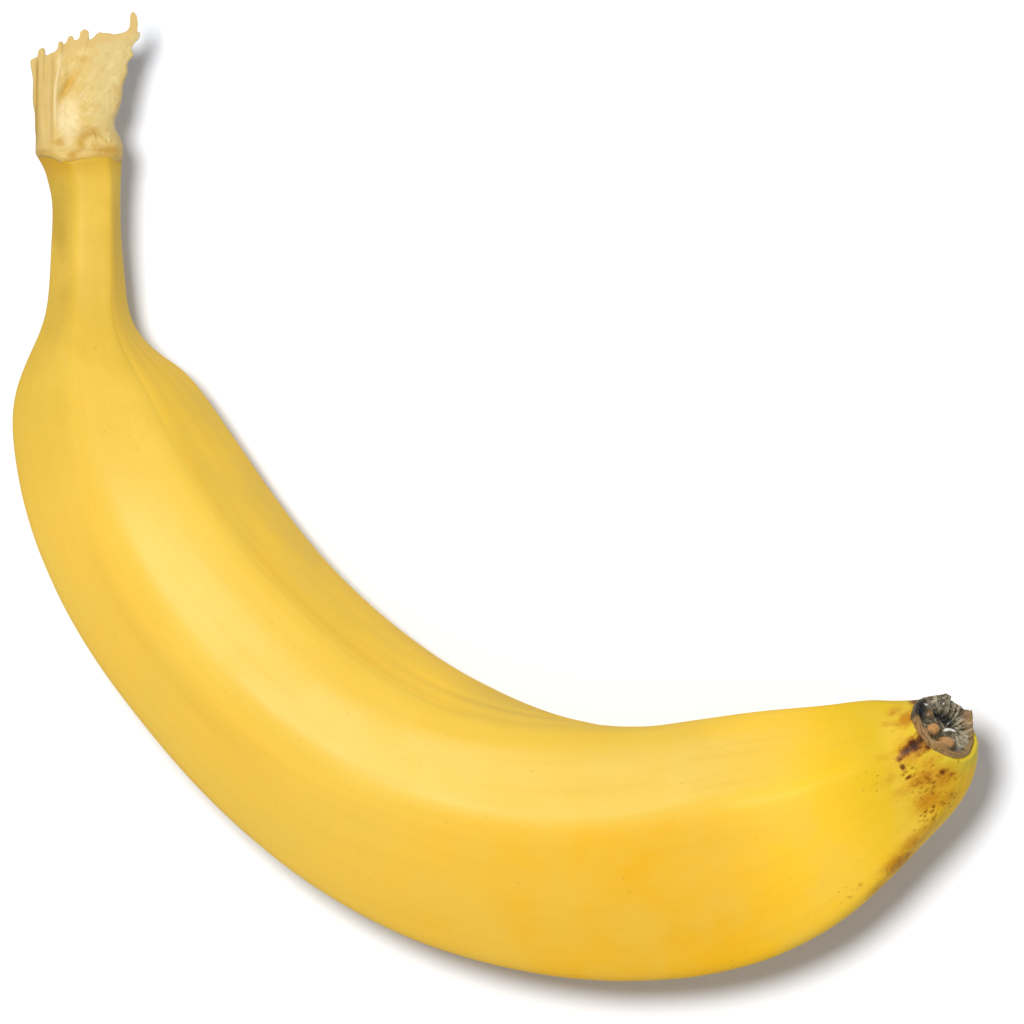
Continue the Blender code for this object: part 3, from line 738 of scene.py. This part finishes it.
# Tan patches at the foot and one near the top: strength, a, b, reach across and along.
TAN_PATCHES = [
    (0.8, 0.3, 2.3, 1.1, 1.6),
    (0.8, -3.1, 2.6, 1.2, 1.2),
    (0.7, 2.1, 4.2, 1.5, 0.9),
    (1.0, 4.4, 1.3, 2.4, 1.0),
    (0.9, -1.1, 0.5, 1.1, 0.9),
    (0.7, 0.7, 15.2, 0.6, 0.8),
]
tan_patches = sum(
    amount * bell(flap_a - at_a, across) * bell(flap_b - at_b, up)
    for amount, at_a, at_b, across, up in TAN_PATCHES
)
flap_marks = {
    "banded": (1 - eased(flap_a, -4.4, -3.4)) * on_front * (0.8 + 0.2 * blotchy),
    "band_line": on_front * eased(flap_b, 1, 4)
    * np.clip(bell(flap_a + 6.45, 0.22) + 0.45 * bell(flap_a + 4.1, 0.3), 0, 1),
    "right_side": on_front * eased(flap_a, 0.5, 4.0) * eased(flap_b, 2, 7),
    "pithy": on_front * bell(flap_a + 1.6, 2.3) * bell(flap_b - 6.2, 4.4),
    "hollowed": on_front * hollow_shape(flap_a + 0.25 * blotchy, flap_b, 3.4, 0.8),
    "tanned": on_front * np.clip(tan_patches, 0, 1),
    "folded": 1 - eased(flap_b - np.interp(flap_a, *PEEL_EDGE.T), 0.25, 1.1),
    # A painted highlight along the rib.
    "rib": on_front * eased(flap_b, 4, 8)
    * bell(flap_a + 3.65 - RIB_LEAN * eased(flap_b, *RIB_BEND), 0.3),
    "fringe": eased(flap_b - 0.28 * flap_a - 17.1, -1.2, 0.4),
    "skinned": 1 - on_front,
}
flap_piece = closed_skin("crown_flap", flap, flap_marks)

# Torn crown tissue: dry plant fibre and pith. It is matt, cream to tan, stringy lengthwise,
# ochre in the hollow and along the fold at its foot, and palest where pith shows, with a painted
# highlight along its rib.
torn_tissue = bpy.data.materials.new("torn_crown_tissue")
torn_tissue.use_nodes = True
tissue_shader = torn_tissue.node_tree.nodes["Principled BSDF"]
place = add_node(torn_tissue, "ShaderNodeTexCoord")
mark = {
    name: add_node(torn_tissue, "ShaderNodeAttribute", attribute_name=name).outputs["Fac"]
    for name in flap_marks
}
# Its fibres are about 0.3 mm thick and run up the stem.
turned = add_node(
    torn_tissue, "ShaderNodeMapping", {"Rotation": (0.0, 0.0, -STEM_TURN)},
    {"Vector": place.outputs["Object"]},
)
string_stretch = add_node(
    torn_tissue, "ShaderNodeMapping", {"Scale": (1 / 0.0006, 1 / 0.006, 1 / 0.002)},
    {"Vector": turned.outputs["Vector"]},
)
strings = add_node(
    torn_tissue, "ShaderNodeTexNoise", {"Scale": 1.0, "Detail": 4.0, "Roughness": 0.6},
    {"Vector": string_stretch.outputs["Vector"]},
)
# Torn tissue between the fibres splits on a slant, in marks about 1 by 3 mm.
slant_turn = add_node(
    torn_tissue, "ShaderNodeMapping", {"Rotation": (0.0, 0.0, -np.radians(85))},
    {"Vector": place.outputs["Object"]},
)
slant_stretch = add_node(
    torn_tissue, "ShaderNodeMapping", {"Scale": (1 / 0.0034, 1 / 0.0011, 1 / 0.002)},
    {"Vector": slant_turn.outputs["Vector"]},
)
slants = add_node(
    torn_tissue, "ShaderNodeTexNoise", {"Scale": 1.0, "Detail": 5.0, "Roughness": 0.65},
    {"Vector": slant_stretch.outputs["Vector"]},
)
blotches = add_node(
    torn_tissue, "ShaderNodeTexNoise", {"Scale": 1 / 0.0022, "Detail": 5.0, "Roughness": 0.65},
    {"Vector": place.outputs["Object"]},
)
shares = shares_of(torn_tissue, mark, [
    ("stringy", strings, "banded", 0.25, 0.45, 0.90, 0.60),
    ("blotched", blotches, "banded", 0.0, 0.50, 0.68, 0.60),
    ("creamy", slants, "banded", -0.2, 0.50, 0.66, 0.65),
    ("pith", blotches, "pithy", 0.9, 0.75, 1.35, 0.90),
    ("tan", blotches, "tanned", 0.9, 0.60, 1.50, 0.95),
    ("fold", blotches, "folded", 0.9, 0.70, 1.40, 0.60),
    ("ochre", blotches, "hollowed", 0.9, 0.66, 1.55, 0.80),
])
colour = laid_over(torn_tissue, "#d3b56a", [
    ("#c8a659", mark["banded"]),
    ("#cdb676", mark["right_side"]),
    ("#c39d50", shares["blotched"]),
    ("#ddc68a", shares["creamy"]),
    ("#d3b87a", shares["stringy"]),
    ("#b08c40", mark["band_line"]),
    ("#e8d09a", shares["pith"]),
    ("#cb9c38", shares["ochre"]),
    ("#be9238", shares["tan"]),
    ("#b8923a", shares["fold"]),
    # Painted highlight along the rib.
    ("#e0c78e", mark["rib"]),
    ("#cdae68", mark["fringe"]),
    ("#c09a4c", mark["skinned"]),
])
torn_tissue.node_tree.links.new(colour, tissue_shader.inputs["Base Color"])
set_sockets(tissue_shader, {
    "Roughness": 0.62, "IOR": 1.45, "Specular IOR Level": 0.3,
    "Subsurface Weight": 0.1, "Subsurface Radius": (1.0, 0.7, 0.35),
    "Subsurface Scale": 0.002,
})
slant_bump = add_node(
    torn_tissue, "ShaderNodeBump", {"Strength": 0.35, "Distance": 0.0004},
    {"Height": slants.outputs["Fac"]},
)
blotch_bump = add_node(
    torn_tissue, "ShaderNodeBump", {"Strength": 0.25, "Distance": 0.0003},
    {"Height": blotches.outputs["Fac"], "Normal": slant_bump.outputs["Normal"]},
)
torn_tissue.node_tree.links.new(blotch_bump.outputs["Normal"], tissue_shader.inputs["Normal"])
flap_piece.data.materials.append(torn_tissue)
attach(flap_piece, "root")
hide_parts("banana")

# The dried remnant of the flower at the blossom end: a hard brown-black scab of shrivelled
# petals and style, sunk in a papery layered rim. It is made as a height field over a disc
# that faces along the tip, with lobes, pits, wrinkles and a crusted grain.

# The rim: degrees round from the hollow side, and its radius there.
SCAR_RIM = np.array(
    [(0, 5.9), (22, 6.0), (45, 5.7), (68, 5.6), (91, 5.5), (124, 5.2), (150, 5.1), (175, 4.9)]
    + [(192, 4.6), (223, 4.5), (248, 5.2), (263, 5.7), (281, 5.4), (296, 5.2), (311, 5.6)]
    + [(334, 5.6), (360, 5.9)]
)
# Share of the rim's radius and height, from the buried foot over the rim to the middle.
SCAR_PROFILE = np.array(
    [(0.60, -3.0), (0.88, -1.7), (0.97, -0.6), (1.0, 0.3), (0.99, 0.9), (0.93, 1.2)]
    + [(0.84, 0.9), (0.74, 0.6), (0.62, 0.6), (0.5, 0.7), (0.38, 0.8), (0.25, 0.9)]
    + [(0.12, 1.0), (0.0, 1.0)]
)
# n towards the hollow side and b up across the tip, height, reach along and across the
# lobe's own line, that line's direction, and how steep its sides are.
TAN_LOBES = [(1.5, 3.0, 1.3, 1.15, 0.95, 60, 2), (-1.2, 3.2, 1.2, 2.0, 1.0, 56, 2)]
TAN_LOBES += [(3.5, 0.8, 0.9, 0.9, 0.7, 0, 1)]
DARK_LOBES = [(3.2, -3.2, 1.7, 1.7, 1.4, 135, 1), (0.6, -2.9, 0.8, 1.7, 1.1, 80, 1)]
RIGHT_LOBES = [(-1.0, -4.4, 1.5, 1.3, 0.8, 100, 1), (-2.3, -3.2, 0.8, 1.4, 0.7, 120, 1)]
# Small raised beads on which near-white glints are painted.
GLINT_BEADS = [(-0.15, 0.75, 0.3, 0.8, 0.24, 66, 1), (-0.9, -0.15, 0.3, 0.7, 0.22, 44, 1)]
GLINT_BEADS += [(4.8, -0.2, 0.2, 0.55, 0.14, 40, 1), (0.3, -1.5, 0.15, 0.4, 0.12, 100, 1)]
GLINT_BEADS += [(-1.0, -1.3, 0.15, 0.3, 0.12, 80, 1), (-1.9, 2.2, 0.15, 0.4, 0.1, 30, 1)]
PITS = [(0.9, -1.3, -1.6, 1.1, 0.9, 0, 1), (2.4, -0.8, -0.9, 0.9, 0.8, 0, 1)]
PITS += [(4.2, 1.9, -0.4, 1.2, 1.1, 0, 1), (0.2, 4.0, -0.7, 0.5, 0.5, 0, 1)]
SCAR_COLUMNS = 320
SCAR_RINGS = 180
# The rim's usual radius, and how far apart its papery layers lie.
RIM_RADIUS = 5.5
RIM_LAYER = 0.30


def lobes_at(n, b, lobes):
    """The sum of lobes: each a bell drawn out along its own line, with steeper sides the
    higher the power of its bell."""
    total = np.zeros_like(n)
    for at_n, at_b, tall, long, short, direction, steep in lobes:
        run, off = along_and_across(n, b, at_n, at_b, direction)
        apart = (run / long) ** 2 + (off / short) ** 2
        total += tall * np.exp(-(apart**steep))
    return total


def scab():
    """The remnant as a disc: rings follow a profile of share-of-rim and height from the
    buried foot over the rim to the middle, raised by lobes, radial wrinkles and crust."""
    knots = lengths_along(SCAR_PROFILE * (RIM_RADIUS, 1.0))
    at = np.linspace(0, knots[-1], SCAR_RINGS)
    profile = curve_through(knots, SCAR_PROFILE, at)
    turn = np.linspace(0, 2 * np.pi, SCAR_COLUMNS, endpoint=False)
    around = np.stack([np.cos(turn), np.sin(turn), np.zeros_like(turn)], axis=-1)
    rim = softened(np.degrees(turn), SCAR_RIM, 1, 8.0)
    edge = around * RIM_RADIUS
    rim = rim + 0.16 * lumps(edge, 1.6, 31) + 0.08 * lumps(edge, 0.7, 32)
    # The innermost ring stays open by a hair, for the skin to close.
    share = np.maximum(profile[:, :1], 0.004)
    n = share * rim * np.cos(turn)
    b = share * rim * np.sin(turn)
    inside = eased(at, knots[4] - 0.2, knots[6])[:, None]
    above = eased(at, knots[2], knots[4])[:, None]
    flat = np.stack([n, b, np.zeros_like(n)], axis=-1)
    warp = flat + 0.35 * np.stack([lumps(flat, 1.1, 33), lumps(flat, 1.1, 34), n * 0], axis=-1)
    creases = 1 - np.abs(lumps(warp, 1.0, 35)) - 0.5 * np.abs(lumps(warp, 0.5, 36))
    rays = around * 6.0 + share[..., None] * (0.0, 0.0, 2.4) + 0.12 * warp
    rays = 1 - 1.6 * np.abs(lumps(rays, 0.8, 39)) - 0.5 * np.abs(lumps(rays, 0.36, 42))
    toward = np.degrees(turn)
    petals = np.clip(bell(toward - 262, 62) + bell(toward - 330, 30), 0, 1)
    petals = petals * eased(share, 0.12, 0.35)
    # Where the painted glints lie; the crust is smoothed there.
    glint_share = np.clip(lobes_at(n, b, GLINT_BEADS) / 0.12 - 0.6, 0, 1)
    smooth = np.clip(1 - lobes_at(n, b, TAN_LOBES) * 0.5 - glint_share, 0.35, 1)
    crust = 0.24 * (creases - 0.5) + 0.09 * lumps(warp, 0.3, 37) + 0.05 * lumps(warp, 0.16, 38)
    layered = np.cos((share * rim - 0.34 * lumps(flat, 1.7, 40)) * 2 * np.pi / RIM_LAYER)
    layered = layered * (0.70 + 0.30 * lumps(flat, 1.3, 43))
    layered = layered * eased(share, 0.78, 0.86) * above
    lobes = lobes_at(n, b, TAN_LOBES + DARK_LOBES + RIGHT_LOBES + GLINT_BEADS + PITS)
    height = profile[:, 1:] + (lobes + crust * smooth + 0.34 * (rays - 0.4) * petals) * inside
    height = height + 0.07 * layered
    return n, b, height, {"rays": rays * petals, "layered": layered, "creases": creases,
                          "share": share + 0 * n, "turn": toward + 0 * n, "glint_share": glint_share}


scar_n, scar_b, scar_up, scar_form = scab()
scar = (
    PEEL_STATIONS[-1, :3]
    + scar_n[..., None] * inward[-1]
    + scar_b[..., None] * upward[-1]
    + scar_up[..., None] * along[-1]
)
# The rim is papery brown on its upper and outer sides alone.
on_rim = eased(scar_form["share"], 0.80, 0.88)
papery_side = eased(scar_form["turn"], 28, 45) * (1 - eased(scar_form["turn"], 205, 235))
scar_marks = {
    "tanned": np.clip(lobes_at(scar_n, scar_b, TAN_LOBES), 0, 1),
    "right_tan": np.clip(0.8 * lobes_at(scar_n, scar_b, RIGHT_LOBES), 0, 1),
    "shadowed": np.clip(
        -lobes_at(scar_n, scar_b, PITS) + 0.9 * bell(scar_n - 4.9, 1.5) * bell(scar_b - 1.0, 1.9),
        0, 1,
    ),
    "webbed": 0.65 * eased(scar_form["creases"], 0.80, 0.97) * (1 - on_rim),
    "ashen": np.clip(scar_form["rays"] * 1.3, 0, 1)
    * (1 - 0.55 * bell(scar_n - 2.8, 1.6) * bell(scar_b + 2.8, 1.7))
    + 0.75 * bell(scar_n + 2.8, 1.5) * bell(scar_b - 0.4, 1.6),
    "papery": on_rim * papery_side,
    # Painted glints on the raised beads.
    "painted_glint": scar_form["glint_share"],
    "rim_line": on_rim * np.clip(-scar_form["layered"], 0, 1),
    # Painted shade: the crust is darker in its low places between the wrinkles.
    "crease_shade": np.clip(0.5 - scar_form["creases"], 0, 1),
}
scar_piece = closed_skin("blossom_scar", scar, scar_marks)

# Dried flower remnant: withered, tannin-stained tissue set hard. It is brown-black with
# tan-orange lobes, ash-grey petals, a net of pale threads and a papery brown rim, with painted
# glints, near-white, on small raised beads.
dried_blossom = bpy.data.materials.new("dried_blossom_crust")
dried_blossom.use_nodes = True
crust_shader = dried_blossom.node_tree.nodes["Principled BSDF"]
place = add_node(dried_blossom, "ShaderNodeTexCoord")
mark = {
    name: add_node(dried_blossom, "ShaderNodeAttribute", attribute_name=name).outputs["Fac"]
    for name in scar_marks
}
crumbs = add_node(
    dried_blossom, "ShaderNodeTexNoise", {"Scale": 1 / 0.0007, "Detail": 5.0, "Roughness": 0.65},
    {"Vector": place.outputs["Object"]},
)
flecks = add_node(
    dried_blossom, "ShaderNodeTexNoise", {"Scale": 1 / 0.0015, "Detail": 3.0, "Roughness": 0.6},
    {"Vector": place.outputs["Object"]},
)
shares = shares_of(dried_blossom, mark, [
    ("crumbly", crumbs, "crease_shade", 0.0, 0.40, 0.62, 0.75),
    ("ash", crumbs, "ashen", 0.9, 0.62, 1.25, 0.85),
    ("paper", flecks, "papery", 0.9, 0.70, 1.10, 0.90),
    ("tan", flecks, "tanned", 0.9, 0.66, 1.36, 0.95),
    ("russet", flecks, "right_tan", 0.9, 0.70, 1.20, 0.80),
])
colour = laid_over(dried_blossom, "#403823", [
    ("#75684a", shares["crumbly"]),
    ("#b0a387", shares["ash"]),
    ("#b0a68a", mark["webbed"]),
    ("#a17c48", shares["paper"]),
    ("#9d7848", shares["russet"]),
    ("#b9874c", shares["tan"]),
    ("#553a1e", mark["rim_line"]),
    # Painted shade in the crust's low places.
    ("#2c2318", mark["crease_shade"]),
    ("#12110e", mark["shadowed"]),
    # Painted glints.
    ("#ebe8de", mark["painted_glint"]),
])
dried_blossom.node_tree.links.new(colour, crust_shader.inputs["Base Color"])
# Its roughness wanders with the flecks.
dullness = add_node(
    dried_blossom, "ShaderNodeMapRange",
    {"From Min": 0.35, "From Max": 0.65, "To Min": 0.35, "To Max": 0.65},
    {"Value": flecks.outputs["Fac"]},
)
dried_blossom.node_tree.links.new(dullness.outputs["Result"], crust_shader.inputs["Roughness"])
set_sockets(crust_shader, {
    "IOR": 1.5, "Specular IOR Level": 0.3, "Coat Weight": 0.14, "Coat Roughness": 0.16,
})
crumb_bump = add_node(
    dried_blossom, "ShaderNodeBump", {"Strength": 0.3, "Distance": 0.0002},
    {"Height": crumbs.outputs["Fac"]},
)
dried_blossom.node_tree.links.new(crumb_bump.outputs["Normal"], crust_shader.inputs["Normal"])
scar_piece.data.materials.append(dried_blossom)
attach(scar_piece, "root")
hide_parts("banana")

# The table top, a matt white board, and plain soft studio light: one large soft light from
# the photograph's upper left, nearly overhead, and an even, faintly cool surround.

half_board = 2.4
board_mesh = bpy.data.meshes.new("table_top")
board_corners = np.array([(-1, -1, 0), (1, -1, 0), (1, 1, 0), (-1, 1, 0)]) * half_board
board_mesh.from_pydata(board_corners.tolist(), [], [(0, 1, 2, 3)])
table_top = bpy.data.objects.new("table_top", board_mesh)
bpy.context.scene.collection.objects.link(table_top)
white_board = bpy.data.materials.new("white_laminate_board")
white_board.use_nodes = True
set_sockets(white_board.node_tree.nodes["Principled BSDF"], {
    "Base Color": linear("#ebedf0"), "Roughness": 0.9, "Specular IOR Level": 0.1,
})
board_mesh.materials.append(white_board)

surround = bpy.data.worlds.new("studio")
surround.use_nodes = True
set_sockets(surround.node_tree.nodes["Background"], {
    "Color": (0.93, 0.98, 1.08, 1.0), "Strength": 0.35,
})
bpy.context.scene.world = surround

key_light = bpy.data.lights.new("soft_box", "AREA")
key_light.shape = "DISK"
key_light.size = 0.30
key_light.energy = 23.8
soft_box = bpy.data.objects.new("soft_box", key_light)
# The photograph is turned so that the stem points up, and the light falls from its upper left.
key_tilt = np.radians(11.5)
key_bearing = STEM_TURN + np.radians(180 - 45)
key_distance = 1.6
soft_box.location = (
    key_distance * np.sin(key_tilt) * np.cos(key_bearing),
    key_distance * np.sin(key_tilt) * np.sin(key_bearing),
    key_distance * np.cos(key_tilt),
)
soft_box.rotation_euler = (0.0, key_tilt, key_bearing)
bpy.context.scene.collection.objects.link(soft_box)

# The camera looks straight down through a long lens, rolled so that the stem points up.
view = bpy.data.cameras.new("overhead")
view.lens = 400.0
view.sensor_width = 36.0
view.clip_end = 20.0
overhead = bpy.data.objects.new("overhead", view)
# The photograph is 1024 pixels of 0.15 mm across at the fruit's middle height, and its own
# middle lies over this place.
picture_side = 0.1536
picture_middle = (0.009345, 0.01812, 0.018)
camera_height = picture_middle[2] + picture_side * view.lens / view.sensor_width
overhead.location = (*picture_middle[:2], camera_height)
overhead.rotation_euler = (0.0, 0.0, STEM_TURN)
bpy.context.scene.collection.objects.link(overhead)
bpy.context.scene.camera = overhead
bpy.context.scene.view_settings.view_transform = "Standard"
